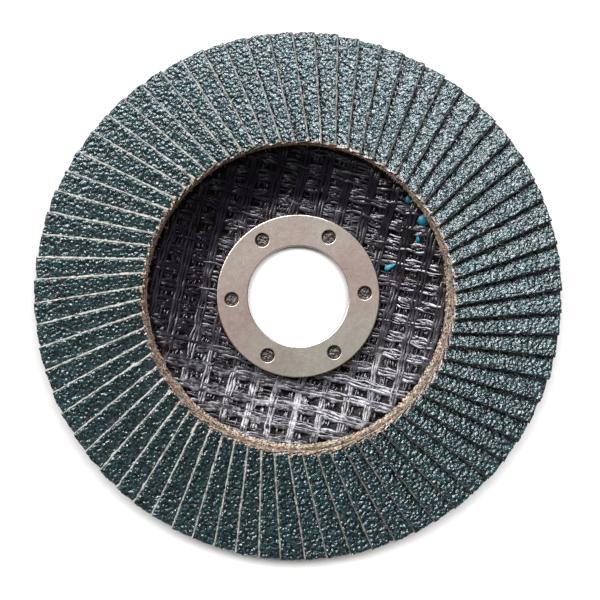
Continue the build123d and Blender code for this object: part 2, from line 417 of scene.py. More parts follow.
# ---------------------------------------------------------------- flaps
def section(radius):
    pitch = math.radians(PITCH) * radius
    slope = math.asin((THICK + GAP) / pitch)
    run, rise = WIDTH * math.cos(slope), WIDTH * math.sin(slope)
    up = THICK * math.cos(slope)
    top = BED_TOP + rise + up
    return np.array([-OVERHANG, top]), np.array([-OVERHANG + run, top - rise])


NU, NV = 110, 24
COARSE = 2
free_in, deep_in = section(R_IN)
free_out, deep_out = section(R_OUT)


def shaded(turn):
    """0 where the free edge of a flap at this angle faces the light, 1 where it faces away and lies in its own shade;
    it sets how much painted shade darkens that edge and the band beside it.
    """
    clock = (90 - turn) % 360
    return float(np.interp(clock, [0, 8, 30, 60, 120, 150, 185, 360], [0.05, 0.15, 0.65, 1.0, 1.0, 0.5, 0.0, 0.05]))


def one_flap(number):
    """One flap's points, faces, material numbers and attributes, in the disc's frame."""
    r = np.random.RandomState(4100 + number)
    seed = 1000 + 17 * number
    turn = START + PITCH * number + r.uniform(-0.22, 0.22)
    skew = math.radians(r.uniform(-0.35, 0.35))
    u = np.linspace(0, 1, NU + 1)[:, None]
    x = R_IN + (R_OUT - R_IN) * u
    # how far the fine part of the grid reaches under the neighbour
    seen = 1.12 * math.radians(PITCH) * x + 0.35
    fine = np.linspace(0, 1, NV + 1)[None, :]
    v = seen * fine
    v = np.concatenate([v] + [seen + (WIDTH - seen) * k / COARSE for k in range(1, COARSE + 1)], axis=1)
    free = free_in * (1 - u) + free_out * u
    deep = deep_in * (1 - u) + deep_out * u
    along = (deep - free) / WIDTH
    length = np.linalg.norm(along, axis=1, keepdims=True)
    down = along / length
    up = np.stack([-down[:, 1], down[:, 0]], axis=1)

    xx = np.broadcast_to(x, v.shape)
    g = grains(xx + 60, v + 3, seed)
    small = noise2(xx / 0.3, v / 0.3, seed + 9)
    wave = noise2(xx / 5.0, v / 3.0, seed + 11)
    lift = -0.35 + 0.325 * g + 0.006 * small + 0.03 * wave
    hidden = np.clip((v - seen * 0.97) / 0.3, 0, 1)
    lift = np.minimum(lift, -0.012) * (1 - hidden) - 0.22 * hidden
    # grain is missing and rounded off at the cut edges
    edge_v = np.exp(-v / 0.22)
    edge_x = np.exp(-(xx - R_IN) / 0.3) + np.exp(-(R_OUT - xx) / 0.25)
    chip = 0.5 + 0.5 * noise2(xx / 0.5, v / 0.5, seed + 13)
    lift = lift - (0.10 + 0.12 * chip) * np.clip(edge_v + edge_x, 0, 1)
    n_all = v.shape[1]

    # the cut edges wander a little
    e_top = 0.12 + 0.09 * noise2(x[:, 0] / 0.45, 0.0, seed + 21) + 0.08 * noise2(x[:, 0] / 1.6, 3.0, seed + 22)
    ends = lambda s0, amp: amp * noise2(v / 0.5, s0, seed + 23) + amp * 0.8 * noise2(v / 1.7, s0 + 9, seed + 24)
    rim_s = free_out[0] + v[-1:] * (deep_out[0] - free_out[0]) / WIDTH
    rounded = np.sqrt(57.42**2 - rim_s**2) - R_OUT
    out_cut = 0.8 * np.minimum(rounded, 0.15) - 0.06 - r.uniform(0.0, 0.2) + ends(1.0, 0.11)
    in_cut = 0.03 + ends(5.0, 0.08) + 0.42 * math.cos(math.radians(turn + 65))
    wx_out, wx_in = u**24, (1 - u) ** 24
    xs = xx + wx_out * out_cut[-1:, :] + wx_in * in_cut[:1, :]
    vv = v + e_top[:, None] * np.clip(1 - v / 0.5, 0, 1)

    def place(xl, vl, depth, push=0.0):
        """Local (x, along the slope, depth below the face, push out past the free edge) to the disc's frame."""
        s = free[:, :1] + down[:, :1] * (vl - push) + up[:, :1] * (-depth)
        z = free[:, 1:] + down[:, 1:] * (vl - push) + up[:, 1:] * (-depth)
        return np.broadcast_to(xl, s.shape), s, z

    pts, faces, mats, grain_a, depth_a, gold_a, fray_a, foot_a = [], [], [], [], [], [], [], []
    count = 0

    def add(xl, s, z, grain, depth, gold, fray, foot=0.0):
        nonlocal count
        first = count
        pts.append(np.stack([np.ravel(xl), np.ravel(s), np.ravel(z)], axis=1))
        n = np.size(s)
        count += n
        for store, value in ((grain_a, grain), (depth_a, depth), (gold_a, gold), (fray_a, fray), (foot_a, foot)):
            store.append(np.broadcast_to(value, np.shape(s)).ravel())
        return first

    gold_x = np.exp(-(x - R_IN) / 0.9)
    # how much of the face has worn to cloth: a narrow band at the inner end and specks along the free edge
    reach = np.maximum(r.uniform(0.3, 0.7) + 0.45 * noise2(v / 0.8, 2.0, seed + 51), 0.1)
    fray = 0.85 * np.exp(-(xx - R_IN) / reach) + 0.42 * np.exp(-v / 0.13) + 0.1 * np.exp(-(R_OUT - xx) / 0.2)
    xl, s, z = place(xs, vv, -lift)
    shade_side = shaded(turn)
    # painted shadow: foot marks a band next to the neighbour's edge, and the edge row itself, on flaps whose edges face
    # away from the light
    foot = shade_side * 1.25 * np.clip(1 - (seen - 0.35 - v) / 0.75, 0, 1) * (v < seen + 0.2) + shade_side * (v < 0.01)
    top0 = add(xl, s, z, g, 0.0, gold_x, fray, foot)
    faces.append(grid_faces(NU, n_all - 1, top0))
    mats.append(np.zeros(NU * (n_all - 1)))

    # free edge: cloth layers below the grain, splayed out a little
    depths = [0.34, 0.52, 0.80, 1.02]
    open_up = 0.2 + 0.8 * (1 - shaded(turn)) * r.uniform(0.75, 1.1)
    pushes = [open_up * q for q in (0.02, 0.13, 0.16, 0.07)]
    cols = [np.arange(NU + 1) * n_all + top0]
    for k, (d, p) in enumerate(zip(depths, pushes)):
        jag = open_up * (0.09 * noise2(x / 0.35, k * 3.0, seed + 31) + 0.08 * noise2(x / 1.3, k * 7.0, seed + 32))
        tuft = 0.5 * np.clip(noise2(x / 2.1, k * 1.0, seed + 33) - 0.62, 0, 1)
        xl, s, z = place(xs[:, :1], 0.0, d, p + jag + tuft)
        # painted shade: the free edge's cloth layers get the same shade factor, less near the inner end
        cols.append(add(xl, s, z, 0.3, d, gold_x * 0.35, 0.0, shade_side * (1 - 0.7 * gold_x)) + np.arange(NU + 1))
    for a, b in zip(cols[:-1], cols[1:]):
        faces.append(np.stack([a[:-1], a[1:], b[1:], b[:-1]], axis=1))
        mats.append(np.ones(NU))
    free_low = cols[-1]

    # outer and inner cut ends, and the buried edge
    def end_face(row, sign, gold):
        nonlocal count
        rows = [top0 + row * n_all + np.arange(n_all)]
        xe = xs[row : row + 1, :]
        for k, d in enumerate(depths):
            wob = 0.05 * noise2(v[row : row + 1, :] / 0.4, k * 5.0, seed + 41 + sign) * (k < 3)
            sl = slice(row, row + 1)
            push = np.array([pushes[k]]) * np.exp(-v[sl] / 0.3) * 1.0
            ss = free[sl, :1] + down[sl, :1] * (v[sl] - push) - up[sl, :1] * d
            zz = free[sl, 1:] + down[sl, 1:] * (v[sl] - push) - up[sl, 1:] * d
            rows.append(add(xe + sign * np.abs(wob) * -1.0, ss, zz, 0.3, d, gold, 0.0) + np.arange(n_all))
        for a, b in zip(rows[:-1], rows[1:]):
            q = np.stack([a[:-1], b[:-1], b[1:], a[1:]], axis=1)
            faces.append(q if sign > 0 else q[:, ::-1])
            mats.append(np.ones(n_all - 1))
        return rows

    outer = end_face(NU, 1, 0.15)
    inner = end_face(0, -1, 1.0)
    xl, s, z = place(xs[:, -1:], WIDTH, 1.02)
    low_deep = add(xl, s, z, 0.3, 1.02, 0.0, 0.0) + np.arange(NU + 1)
    a = top0 + np.arange(NU + 1) * n_all + n_all - 1
    faces.append(np.stack([a[1:], a[:-1], low_deep[:-1], low_deep[1:]], axis=1))
    mats.append(np.ones(NU))
    faces.append(np.stack([free_low[:-1], free_low[1:], low_deep[1:], low_deep[:-1]], axis=1))
    mats.append(np.full(NU, 2))

    p = np.concatenate(pts)
    # skew in its own plane, then turn into place
    cs, sn = math.cos(skew), math.sin(skew)
    dx = p[:, 0] - 45.0
    p = np.stack([45.0 + dx * cs - p[:, 1] * sn, dx * sn + p[:, 1] * cs, p[:, 2] + r.uniform(-0.02, 0.0)], axis=1)
    # turn about the plate's own centre
    t = math.radians(turn)
    ca, sa = math.cos(t), math.sin(t)
    p = np.stack([p[:, 0] * ca - p[:, 1] * sa, p[:, 0] * sa + p[:, 1] * ca, p[:, 2]], axis=1)
    return (p, np.concatenate(faces), np.concatenate(mats),
            np.concatenate(grain_a), np.concatenate(depth_a), np.concatenate(gold_a), np.concatenate(fray_a),
            np.concatenate(foot_a))


for first in range(0, FLAPS, 3):
    parts = [one_flap(first + k) for k in range(3)]
    offset = np.cumsum([0] + [len(p[0]) for p in parts[:-1]])
    name = f"flaps_{first + 1:02d}_to_{first + 3:02d}"
    mats = np.concatenate([p[2] for p in parts])
    ob = make_mesh("cloth_" + name, np.concatenate([p[0] for p in parts]),
                   quads=np.concatenate([p[1] + o for p, o in zip(parts, offset)]),
                   mats=(GRIT, EDGE, BACK), mat_index=mats, smooth=True,
                   floats={"grain": np.concatenate([p[3] for p in parts]),
                           "depth": np.concatenate([p[4] for p in parts]),
                           "gold": np.concatenate([p[5] for p in parts]),
                           "fray": np.concatenate([p[6] for p in parts]),
                           "foot": np.concatenate([p[7] for p in parts])})
    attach(ob, "root")
    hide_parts(name)


# ---------------------------------------------------------------- backing plate
def plate_body():
    """The moulded plate: a closed turned body with an uneven resin skin."""
    n = 264
    radii_f = np.concatenate([np.linspace(BORE_R + 0.05, 33.5, 54), np.linspace(35, 53.7, 4)])
    radii_r = np.linspace(BORE_R + 0.05, 53.7, 36)
    t = np.linspace(0, 2 * math.pi, n, endpoint=False)
    rings = []
    cos13, sin13 = math.cos(math.radians(13)), math.sin(math.radians(13))
    for rad in radii_f:
        x, y = rad * np.cos(t), rad * np.sin(t)
        flood = np.clip(noise2(x / 3.6, y / 3.6, 70) - 0.15, 0, 0.6)
        lx = x * cos13 - y * sin13
        ly = x * sin13 + y * cos13
        pit = np.clip(-np.cos(2 * math.pi * lx / 5.15) + 0.3, 0, 1) * np.clip(-np.cos(2 * math.pi * ly / 4.0) + 0.2, 0, 1)
        z = front_z(rad) - 0.50 + 0.15 * noise2(x / 1.1, y / 1.1, 71) + 0.10 * noise2(x / 0.55, y / 0.55, 72) + 0.45 * flood - 0.55 * pit
        if rad > 53:
            z = np.full(n, front_z(rad) - 0.12)
        rings.append(np.stack([x, y, z], axis=1))
    for rad, z in ((54.0, 6.3), (54.0, 5.6), (54.0, 4.9)):
        wob = rad - 0.08 + 0.06 * noise2(t * 54 / 1.1, z, 73)
        rings.append(np.stack([wob * np.cos(t), wob * np.sin(t), np.full(n, z)], axis=1))
    for rad in radii_r[::-1]:
        x, y = rad * np.cos(t), rad * np.sin(t)
        z = rear_z(rad) + 0.42 - 0.08 * noise2(x / 1.6, y / 1.6, 75) - 0.03 * noise2(x / 0.7, y / 0.7, 76)
        if rad > 53:
            z = np.full(n, rear_z(rad) + 0.12)
        rings.append(np.stack([x, y, z], axis=1))
    for z in (0.9, 1.3, 1.6):
        wob = BORE_R + 0.03 + 0.03 * noise2(t * 11 / 0.5, z * 3, 74)
        rings.append(np.stack([wob * np.cos(t), wob * np.sin(t), np.full(n, z)], axis=1))
    p = np.array(rings)
    m = len(rings)
    i, j = np.meshgrid(np.arange(m), np.arange(n), indexing="ij")
    i2, j2 = (i + 1) % m, (j + 1) % n
    q = np.stack([i * n + j, i2 * n + j, i2 * n + j2, i * n + j2], axis=-1).reshape(-1, 4)
    return make_mesh("plate_resin", p.reshape(-1, 3), quads=q, mats=(RESIN,))


def strand(path, half_w, half_h, k, seed, side):
    """A flat round strand along a path lying on the plate: points, quads, uv."""
    n = len(path)
    tangent = np.gradient(path, axis=0)
    tangent /= np.linalg.norm(tangent, axis=1, keepdims=True)
    upv = np.array([0, 0, float(side)])
    across = np.cross(tangent, upv)
    across /= np.linalg.norm(across, axis=1, keepdims=True)
    lift = np.cross(across, tangent)
    flat = np.array({7: [(1, 0), (0.7, 0.72), (0, 1), (-0.7, 0.72), (-1, 0), (-0.6, -0.8), (0.6, -0.8)],
                     5: [(1, 0), (0.45, 0.9), (-0.45, 0.9), (-1, 0), (0, -0.9)]}[k], float)
    ss = np.arange(n) * 1.0
    w = half_w * (1 + 0.28 * noise2(ss / 5.0, seed * 0.37, seed + 1) + 0.34 * noise2(ss / 1.9, seed * 0.37, seed + 5))
    h = half_h * (1 + 0.2 * noise2(ss / 4.0, seed * 0.73, seed + 2) + 0.25 * noise2(ss / 1.7, seed * 0.73, seed + 6))
    taper = np.clip(np.minimum(ss, ss[::-1]) / 2.0, 0.25, 1)
    ring = (path[:, None, :] + (w * taper)[:, None, None] * flat[None, :, :1] * across[:, None, :]
            + (h * taper)[:, None, None] * flat[None, :, 1:] * lift[:, None, :])
    i, j = np.meshgrid(np.arange(n - 1), np.arange(k), indexing="ij")
    j2 = (j + 1) % k
    q = np.stack([i * k + j, (i + 1) * k + j, (i + 1) * k + j2, i * k + j2], axis=-1).reshape(-1, 4)
    d = np.concatenate([[0], np.cumsum(np.linalg.norm(np.diff(path, axis=0), axis=1))])
    uv = np.stack([np.repeat(d + seed * 3.1, k), np.tile(np.abs(np.linspace(-1, 1, k)) + seed * 1.7, n)], axis=1)
    caps = [[*range(k)], [*((n - 1) * k + np.arange(k))[::-1]]]
    return ring.reshape(-1, 3), q, uv, caps


def sheen_and_shade(x, y, side):
    """How much pale painted sheen lies on the net here, on the side of the recess that faces the light, and how much
    painted shade darkens it and dims its gloss on the shaded side.
    """
    if side < 0:
        return np.zeros(np.shape(x)), np.zeros(np.shape(x))
    clock = (90 - np.degrees(np.arctan2(y, x))) % 360
    rad = np.hypot(x, y)
    # painted sheen on the lit lower side of the recess
    pale_sheen = np.interp(clock, [0, 95, 130, 160, 205, 235, 262, 360], [0, 0, 0.55, 1, 1, 0.5, 0, 0]) * np.clip((rad - 18.5) / 5, 0, 1)
    pale_sheen = pale_sheen * np.clip(0.7 + 0.7 * noise2(x / 1.8, y / 1.8, 95), 0, 1)
    # painted shade on the upper side of the recess, which the flap wall shades
    shade_dull = np.interp(clock, [0, 25, 60, 235, 270, 300, 345, 360], [0.95, 0.6, 0, 0, 0.6, 1, 1, 0.95]) * np.clip((rad - 19.0) / 5, 0, 1)
    return pale_sheen, shade_dull


def net(name, side, r_in, r_out, turn, pitch_v, pitch_h, strands_v, strands_h, gap_v, gap_h,
        half_v, half_h, depth, weave, step, k, seed, shift=(0.0, 0.0)):
    """An open woven net of glass strands draped over the front (side 1) or the rear (side -1) of the plate."""
    ct, st = math.cos(math.radians(turn)), math.sin(math.radians(turn))
    rng = np.random.RandomState(seed)
    pts, quads, uvs, tris, kinds, cap_kinds = [], [], [], [], [], []
    count = 0
    for kind, pitch, other, many, gap, (hw, hh) in (
            ("v", pitch_v, pitch_h, strands_v, gap_v, half_v), ("h", pitch_h, pitch_v, strands_h, gap_h, half_h)):
        reach = int(r_out / pitch) + 2
        for b in range(-reach, reach + 1):
            base = b * pitch + shift[0 if kind == "v" else 1] + rng.uniform(-0.25, 0.25)
            seed_b = seed + 1000 * (kind == "v") + b * 13 + 400
            for m in range(many):
                seed_m = seed_b + m * 5 + 7
                off = (m - (many - 1) / 2) * gap + rng.uniform(-0.07, 0.07)
                q = np.arange(-r_out - 2, r_out + 2, step)
                drift = 0.3 * noise2(q / 9.0, b * 1.7, seed_b)
                # the long strands hold the cross strands down, which arch up in the windows and splay there
                turns = np.cos(2 * math.pi * (q - shift[1 if kind == "v" else 0]) / other)
                bunch = 1.0 - (0.04 if kind == "v" else 0.16) * turns
                lx, ly = (base, q) if kind == "v" else (q, base)
                low = np.clip((lx * st - ly * ct - 9.0) / 7.0, 0, 1) * (side > 0)
                if kind == "v":
                    rise = weave * (0.6 + 0.35 * turns) + 0.10 * noise2(q / 1.7, m * 2.3, seed_m + 3)
                    p = base + off * bunch * (1 - 0.27 * low) + drift + 0.21 * noise2(q / 2.3, m * 3.1, seed_m)
                else:
                    rise = weave * (-0.25 - 0.5 * turns) + 0.12 * noise2(q / 1.7, m * 2.3, seed_m + 3)
                    spot = np.round((q - shift[0]) / other)
                    near = np.exp(-((q - shift[0] - spot * other) / 1.25) ** 2)
                    rise = rise + (0.36 if side > 0 else 0.12) * near * (hashed(spot, b * 3 + m, seed + 600) > 0.78 - 0.3 * (b < -3)) + 0.15 * low
                    p = base + off * bunch * (1 - 0.2 * low) + drift + 0.30 * (1 - 0.3 * low) * noise2(q / 2.4, m * 3.1, seed_m)
                lx, ly = (p, q) if kind == "v" else (q, p)
                x, y = lx * ct + ly * st, -lx * st + ly * ct
                rad = np.hypot(x, y)
                surf = front_z(rad) if side > 0 else rear_z(rad)
                z = surf - side * (depth - rise)
                inside = (rad > r_in + rng.uniform(-0.2, 0.2)) & (rad < r_out + rng.uniform(-0.25, 0.1))
                # a few strands break off short of the others
                start = 0
                idx = np.flatnonzero(inside)
                if len(idx) < 5:
                    continue
                for run in np.split(idx, np.flatnonzero(np.diff(idx) > 1) + 1):
                    if len(run) < 5:
                        continue
                    path = np.stack([x[run], y[run], z[run]], axis=1)
                    pp, qq, uu, caps = strand(path, hw * rng.uniform(0.85, 1.15), hh * rng.uniform(0.85, 1.1), k, seed_m, side)
                    pts.append(pp)
                    quads.append(qq + count)
                    uvs.append(uu)
                    for cap in caps:
                        c = np.array(cap)
                        tris.extend([[c[0] + count, c[i] + count, c[i + 1] + count] for i in range(1, len(c) - 1)])
                        cap_kinds.append(np.full(len(c) - 2, int(kind == "v")))
                    kinds.append(np.full(len(qq), int(kind == "v")))
                    count += len(pp)
    pts = np.concatenate(pts)
    if side < 0:
        # the rear net is pressed flat where it would stand out past the hub
        pts[:, 2] = np.maximum(pts[:, 2], 0.03)
    # painted sheen on the lit side and painted shade on the shaded side of the recess
    pale_sheen, shade_dull = sheen_and_shade(pts[:, 0], pts[:, 1], side)
    pale_sheen = pale_sheen * (depth < 0.5)
    return make_mesh(name, pts, quads=np.concatenate(quads), tris=np.array(tris), mats=(STRAND, WARP),
                     mat_index=np.concatenate([np.concatenate(kinds), np.concatenate(cap_kinds)]),
                     floats={"pale_sheen": pale_sheen, "shade_dull": shade_dull}, uv=np.concatenate(uvs))


plate = plate_body()
net_front = net("net_front", 1, 17.4, 32.9, 13.0, 5.15, 4.0, 3, 3, 0.68, 0.78, (0.35, 0.11), (0.40, 0.12),
                0.38, 0.20, 0.45, 7, 90)
net_under = net("net_under", 1, 17.4, 32.9, 16.0, 5.15, 4.1, 2, 2, 0.95, 0.8, (0.36, 0.12), (0.32, 0.12),
                0.70, 0.05, 0.8, 5, 190, shift=(2.4, 1.9))
net_rear = net("net_rear", -1, 11.6, 53.4, -8.0, 5.15, 4.1, 2, 2, 0.95, 0.8, (0.5, 0.17), (0.42, 0.16),
               0.42, 0.09, 1.1, 5, 290)


def slivers():
    """Broken ends of roving that splay over the cross strands, and short upright bits in the windows."""
    rng = np.random.RandomState(490)
    ct, st = math.cos(math.radians(13.0)), math.sin(math.radians(13.0))
    pts, quads, tris, uvs = [], [], [], []
    count = 0
    for i in range(-8, 8):
        for j in range(-10, 11):
            for kind, many in (("h", 7), ("v", 3)):
                for _ in range(many):
                    if kind == "h":
                        lx0, ly0 = (i + 0.5) * 5.15 + rng.uniform(-0.9, 0.9), j * 4.0 + rng.uniform(-1.15, 1.15)
                        half, turn = rng.uniform(0.6, 1.7), rng.normal(0, 11)
                        hw, hh, arch = rng.uniform(0.16, 0.36), rng.uniform(0.05, 0.08), rng.uniform(0.2, 0.4)
                    else:
                        lx0, ly0 = (i + 0.5) * 5.15 + rng.uniform(-1.4, 1.4), (j + 0.5) * 4.0 + rng.uniform(-0.3, 0.3)
                        half, turn = rng.uniform(0.4, 1.0), 90 + rng.normal(0, 11)
                        hw, hh, arch = rng.uniform(0.16, 0.27), rng.uniform(0.05, 0.09), rng.uniform(0.05, 0.22)
                    q = np.linspace(-1, 1, 6)
                    bend = rng.uniform(-0.12, 0.12) * (1 - q * q)
                    a = math.radians(turn)
                    lx = lx0 + half * q * math.cos(a) - bend * math.sin(a)
                    ly = ly0 + half * q * math.sin(a) + bend * math.cos(a)
                    x, y = lx * ct + ly * st, -lx * st + ly * ct
                    rad = np.hypot(x, y)
                    if rad.min() < 18.3 or rad.max() > 32.3:
                        continue
                    z = front_z(rad) - 0.50 + arch * (1 - q * q)
                    path = np.stack([x, y, z], axis=1)
                    pp, qq, uu, caps = strand(path, hw, hh, 5, 700 + (i * 31 + j) % 97, 1)
                    pts.append(pp)
                    quads.append(qq + count)
                    uvs.append(uu)
                    for cap in caps:
                        c = np.array(cap)
                        tris.extend([[c[0] + count, c[m] + count, c[m + 1] + count] for m in range(1, len(c) - 1)])
                    count += len(pp)
    pts = np.concatenate(pts)
    # painted sheen on the lit side and painted shade on the shaded side, weaker on the slivers
    pale_sheen, shade_dull = sheen_and_shade(pts[:, 0], pts[:, 1], 1)
    return make_mesh("net_slivers", pts, quads=np.concatenate(quads), tris=np.array(tris), mats=(STRAND,),
                     floats={"pale_sheen": 0.6 * pale_sheen, "shade_dull": 0.15 * shade_dull}, uv=np.concatenate(uvs))


broken = slivers()


def pips():
    """Resin that has risen into the ring's six holes, with bits of strand in it."""
    pts, quads, tris = [], [], []
    count = 0
    nr, na = 10, 30
    for h in range(6):
        a = math.radians(HOLE_START + 60 * h)
        cx, cy = HOLE_PCR * math.cos(a), HOLE_PCR * math.sin(a)
        t = np.linspace(0, 2 * math.pi, na, endpoint=False)
        rows = []
        for i in range(nr + 1):
            rad = 1.44 * (i / nr)
            x, y = cx + rad * np.cos(t), cy + rad * np.sin(t)
            lump = 0.16 * noise2(x / 0.42 + 7 * h, y / 0.42, 55) + 0.09 * noise2(x / 0.9, y / 0.3 + 5 * h, 56)
            z = 2.92 + lump * min(1, 1.4 * (1 - (i / nr) ** 4) + 0.2) - 0.12 * (i / nr) ** 3
            rows.append(np.stack([x, y, np.minimum(z, 3.12)], axis=1))
        rows[0][:] = rows[0].mean(axis=0)
        rows.append(np.stack([cx + 1.44 * np.cos(t), cy + 1.44 * np.sin(t), np.full(na, 2.0)], axis=1))
        p = np.concatenate(rows)
        i, j = np.meshgrid(np.arange(1, nr + 1), np.arange(na), indexing="ij")
        j2 = (j + 1) % na
        quads.append(np.stack([i * na + j, (i + 1) * na + j, (i + 1) * na + j2, i * na + j2], axis=-1).reshape(-1, 4) + count)
        j = np.arange(na)
        tris.append(np.stack([np.zeros(na, int), na + j, na + (j + 1) % na], axis=1) + count)
        pts.append(p)
        count += len(p)
    return make_mesh("resin_pips", np.concatenate(pts), quads=np.concatenate(quads), tris=np.concatenate(tris), mats=(PIP,))


pip = pips()
for ob in (plate, net_front, net_under, net_rear, broken, pip):
    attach(ob, "root")
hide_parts("backing_plate")


# ---------------------------------------------------------------- glue bed and bead
def glue():
    n = 900
    t = np.linspace(0, 2 * math.pi, n, endpoint=False)
    rows = 13
    up = np.linspace(0, 1, rows)
    slope_r = np.interp(up, [0, 0.35, 0.75, 1.0], [32.4, 32.65, 32.9, 33.1])
    slope_z = np.interp(up, [0, 0.35, 0.75, 1.0], [6.82, 7.5, 8.5, 9.2])
    back = np.interp((90 - np.degrees(t)) % 360, [0, 25, 45, 75, 95, 120, 150, 180, 210, 235, 270, 300, 330, 360],
                     [1.2, 1.1, 0.45, 0.35, -0.12, -0.05, -0.1, 0.0, 0.0, 0.1, 0.65, 0.9, 1.1, 1.2])
    rings = []
    for k in range(rows):
        lump = 0.5 * noise2(t * 32 / 0.9, k * 0.6, 61) + 0.7 * noise2(t * 32 / 0.45, k * 1.1, 62) + 0.4 * noise2(t * 32 / 3.1, k * 0.15, 64)
        fall = 1 - 0.6 * up[k]
        rr = slope_r[k] + 0.26 * fall * lump + back
        zz = slope_z[k] + (0.22 * noise2(t * 32 / 0.7, k * 0.8 + 4, 63) if 0 < k else 0.0)
        rings.append(np.stack([rr * np.cos(t), rr * np.sin(t), np.full(n, zz)], axis=1))
    for rad, z in ((33.9, 7.4), (40.0, 7.4), (53.2, 7.4), (53.4, 6.82), (40.0, 6.81)):
        rings.append(np.stack([rad * np.cos(t), rad * np.sin(t), np.full(n, z)], axis=1))
    p = np.array(rings)
    m = len(rings)
    i, j = np.meshgrid(np.arange(m), np.arange(n), indexing="ij")
    i2, j2 = (i + 1) % m, (j + 1) % n
    q = np.stack([i * n + j, i * n + j2, i2 * n + j2, i2 * n + j], axis=-1).reshape(-1, 4)
    return make_mesh("glue_bead", p.reshape(-1, 3), quads=q, mats=(GLUE,))


bead = glue()
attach(bead, "root")
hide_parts("adhesive_bed")


# ---------------------------------------------------------------- frayed fibres
def fibre_set(name, roots, dirs, lengths, radii, seed, droop=0.25):
    """Thin curled threads: three-sided tubes of four runs each."""
    rng = np.random.RandomState(seed)
    n = len(roots)
    segs = 4
    pts = np.zeros((n, segs + 1, 3))
    pts[:, 0] = roots
    d = dirs / np.linalg.norm(dirs, axis=1, keepdims=True)
    for s in range(segs):
        pts[:, s + 1] = pts[:, s] + d * (lengths / segs)[:, None]
        d = d + rng.normal(0, 0.32, (n, 3)) + np.array([0, 0, -droop])
        d /= np.linalg.norm(d, axis=1, keepdims=True)
    tangent = np.gradient(pts, axis=1)
    tangent /= np.linalg.norm(tangent, axis=2, keepdims=True)
    ref = np.array([0.31, 0.17, 0.93])
    a1 = np.cross(tangent, ref)
    a1 /= np.linalg.norm(a1, axis=2, keepdims=True)
    a2 = np.cross(tangent, a1)
    k = 3
    ang = np.arange(k) * 2 * math.pi / k
    taper = np.linspace(1, 0.45, segs + 1)[None, :, None, None]
    ring = pts[:, :, None, :] + radii[:, None, None, None] * taper * (
        np.cos(ang)[None, None, :, None] * a1[:, :, None, :] + np.sin(ang)[None, None, :, None] * a2[:, :, None, :])
    ring[..., 2] = np.clip(ring[..., 2], 2.6, 13.88)
    verts = ring.reshape(-1, 3)
    f, i, j = np.meshgrid(np.arange(n), np.arange(segs), np.arange(k), indexing="ij")
    j2 = (j + 1) % k
    base = f * (segs + 1) * k
    q = np.stack([base + i * k + j, base + (i + 1) * k + j, base + (i + 1) * k + j2, base + i * k + j2], axis=-1).reshape(-1, 4)
    f = np.arange(n) * (segs + 1) * k
    caps = np.concatenate([np.stack([f, f + 2, f + 1], axis=1), np.stack([f + segs * k, f + segs * k + 1, f + segs * k + 2], axis=1)])
    ob = make_mesh(name, verts, quads=q, tris=caps, mats=(FIBRE,))
    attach(ob, "root")
    return ob


def wall_fibres():
    rng = np.random.RandomState(77)
    roots, dirs, lens, rads = [], [], [], []
    for k in range(FLAPS):
        az = math.radians(START + PITCH * k)
        ca, sa = math.cos(az), math.sin(az)
        # a tuft at the raised corner, and threads along the whole inner end
        for kind, many in (("corner", 12), ("end", 18), ("foot", 8)):
            for _ in range(many):
                if kind == "corner":
                    v, depth = rng.uniform(-0.1, 0.9), rng.uniform(0.3, 1.0)
                    out = np.array([rng.uniform(-1.0, -0.3), rng.uniform(-1.0, 0.3), rng.uniform(-0.35, 0.35)])
                    ln = rng.uniform(0.4, 1.15)
                elif kind == "end":
                    v, depth = rng.uniform(0.0, 11.0), rng.uniform(0.35, 1.05)
                    out = np.array([rng.uniform(-1.0, -0.4), rng.uniform(-1.0, 1.0), rng.uniform(-0.5, 0.4)])
                    ln = rng.uniform(0.3, 0.8)
                else:
                    v, depth = rng.uniform(4.0, 13.0), rng.uniform(0.5, 1.1)
                    out = np.array([rng.uniform(-0.6, -0.2), rng.uniform(-1.0, 1.0), rng.uniform(-0.9, -0.1)])
                    ln = rng.uniform(0.8, 2.0)
                s = free_in[0] + (deep_in[0] - free_in[0]) * v / WIDTH
                z = free_in[1] + (deep_in[1] - free_in[1]) * v / WIDTH - depth
                x = R_IN + 0.1
                roots.append([x * ca - s * sa, x * sa + s * ca, max(z, 7.3)])
                dirs.append([out[0] * ca - out[1] * sa, out[0] * sa + out[1] * ca, out[2]])
                lens.append(ln)
                rads.append(rng.uniform(0.04, 0.08))
    return fibre_set("wall_fibres", np.array(roots), np.array(dirs), np.array(lens), np.array(rads), 78)


def edge_fibres():
    """Short threads that stand out of the flaps' free edges."""
    rng = np.random.RandomState(177)
    roots, dirs, lens, rads = [], [], [], []
    for k in range(FLAPS):
        az = math.radians(START + PITCH * k)
        ca, sa = math.cos(az), math.sin(az)
        for _ in range(16):
            u = rng.uniform(0.0, 1.0)
            x = R_IN + (R_OUT - R_IN) * u
            s = free_in[0] * (1 - u) + free_out[0] * u - 0.05
            z = free_in[1] * (1 - u) + free_out[1] * u - rng.uniform(0.35, 0.7)
            out = np.array([rng.uniform(-1, 1) * 1.4, rng.uniform(-1.0, -0.4), rng.uniform(-0.2, 0.35)])
            roots.append([x * ca - s * sa, x * sa + s * ca, z])
            dirs.append([out[0] * ca - out[1] * sa, out[0] * sa + out[1] * ca, out[2]])
            lens.append(rng.uniform(0.25, 0.75))
            rads.append(rng.uniform(0.025, 0.05))
    return fibre_set("edge_fibres", np.array(roots), np.array(dirs), np.array(lens), np.array(rads), 178, droop=0.1)


